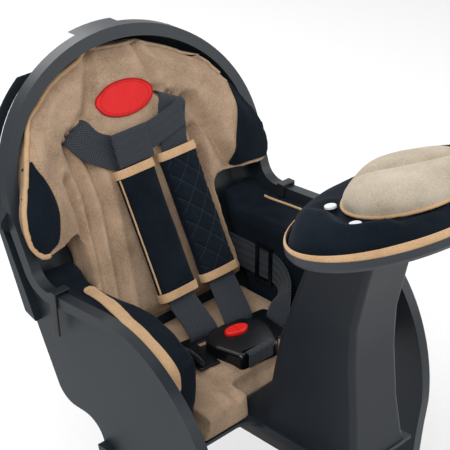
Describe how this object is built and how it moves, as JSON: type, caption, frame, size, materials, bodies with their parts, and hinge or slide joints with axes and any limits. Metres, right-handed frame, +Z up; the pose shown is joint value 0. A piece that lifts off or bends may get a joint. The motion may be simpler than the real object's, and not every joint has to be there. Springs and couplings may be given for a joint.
{
  "type": "child bike seat",
  "caption": "Bar-mounted child bike seat: moulded bucket with leg guards, padded liner, harness with push buckle, padded bumper on a post and sliding foot cups.",
  "frame": {"origin": "on the underside of the steel channel's web, under the middle of the seat floor, where the seat rests on the bike's bar", "axes": "+X to the child's left, +Y towards the seat's back, +Z up; the child faces -Y"},
  "size_m": [0.38, 0.5311, 0.644],
  "materials": {
    "shell_plastic": "fine matt grain",
    "channel_steel": "black powder coat",
    "fastener_steel": "zinc plated",
    "post_plastic": "matt",
    "tray_plastic": "satin",
    "black_fabric": "brushed microfibre",
    "cream_fabric": "soft microfibre",
    "tan_fabric": "brushed microfibre",
    "snap_plastic": "gloss",
    "webbing": "herringbone weave",
    "red_plastic": "satin",
    "buckle_plastic": "satin",
    "cup_plastic": "fine matt grain",
    "strap_rubber": "matt",
    "tab_plastic": "satin"
  },
  "bodies": {
    "seat": {"back_cushion": "tan_fabric", "belt_adjuster_left": "buckle_plastic", "belt_adjuster_right": "buckle_plastic", "buckle_base": "buckle_plastic", "buckle_cover": "buckle_plastic", "buckle_tongue_left": "buckle_plastic", "buckle_tongue_right": "buckle_plastic", "bumper_pad": "black_fabric", "bumper_tray": "tray_plastic", "button_spring": "fastener_steel", "channel_bolt_back_left": "fastener_steel", "channel_bolt_back_right": "fastener_steel", "channel_bolt_front_left": "fastener_steel", "channel_bolt_front_right": "fastener_steel", "crotch_anchor": "channel_steel", "crotch_strap": "webbing", "harness_anchor": "channel_steel", "hip_bolster_left": "tan_fabric", "hip_bolster_right": "tan_fabric", "mount_channel": "channel_steel", "nap_pillow": "cream_fabric", "pad_snap_1": "snap_plastic", "pad_snap_2": "snap_plastic", "pad_snap_3": "snap_plastic", "pad_snap_4": "snap_plastic", "pad_tab_left": "tab_plastic", "pad_tab_right": "tab_plastic", "pommel_post": "post_plastic", "post_screw_back_left": "fastener_steel", "post_screw_back_right": "fastener_steel", "post_screw_front_left": "fastener_steel", "post_screw_front_right": "fastener_steel", "seat_cushion": "tan_fabric", "seat_shell": "shell_plastic", "shoulder_pad_left": "black_fabric", "shoulder_pad_right": "black_fabric", "shoulder_strap_left": "webbing", "shoulder_strap_right": "webbing", "tray_screw_left": "fastener_steel", "tray_screw_right": "fastener_steel", "waist_strap_left": "webbing", "waist_strap_right": "webbing", "yoke_sleeve": "black_fabric", "yoke_strap": "webbing"},
    "button": {"release_button": "red_plastic"},
    "right_foot": {"foot_cup_right": "cup_plastic", "cup_latch_right": "cup_plastic", "latch_screw_right": "fastener_steel", "foot_strap_right": "strap_rubber"},
    "left_foot": {"foot_cup_left": "cup_plastic", "cup_latch_left": "cup_plastic", "latch_screw_left": "fastener_steel", "foot_strap_left": "strap_rubber"}
  },
  "joints": [
    {"name": "release_button_press", "type": "slide", "parent": "seat", "child": "button", "axis": [0, 0, -1], "range_m": [0, 0.003], "stiffness_N_per_m": 600, "springref_m": -0.003, "deforming": ["button_spring"]},
    {"name": "right_foot_height", "type": "slide", "parent": "seat", "child": "right_foot", "axis": [0, 0, 1], "range_m": [0, 0.06]},
    {"name": "left_foot_height", "type": "slide", "parent": "seat", "child": "left_foot", "axis": [0, 0, 1], "range_m": [0, 0.06]}
  ]
}
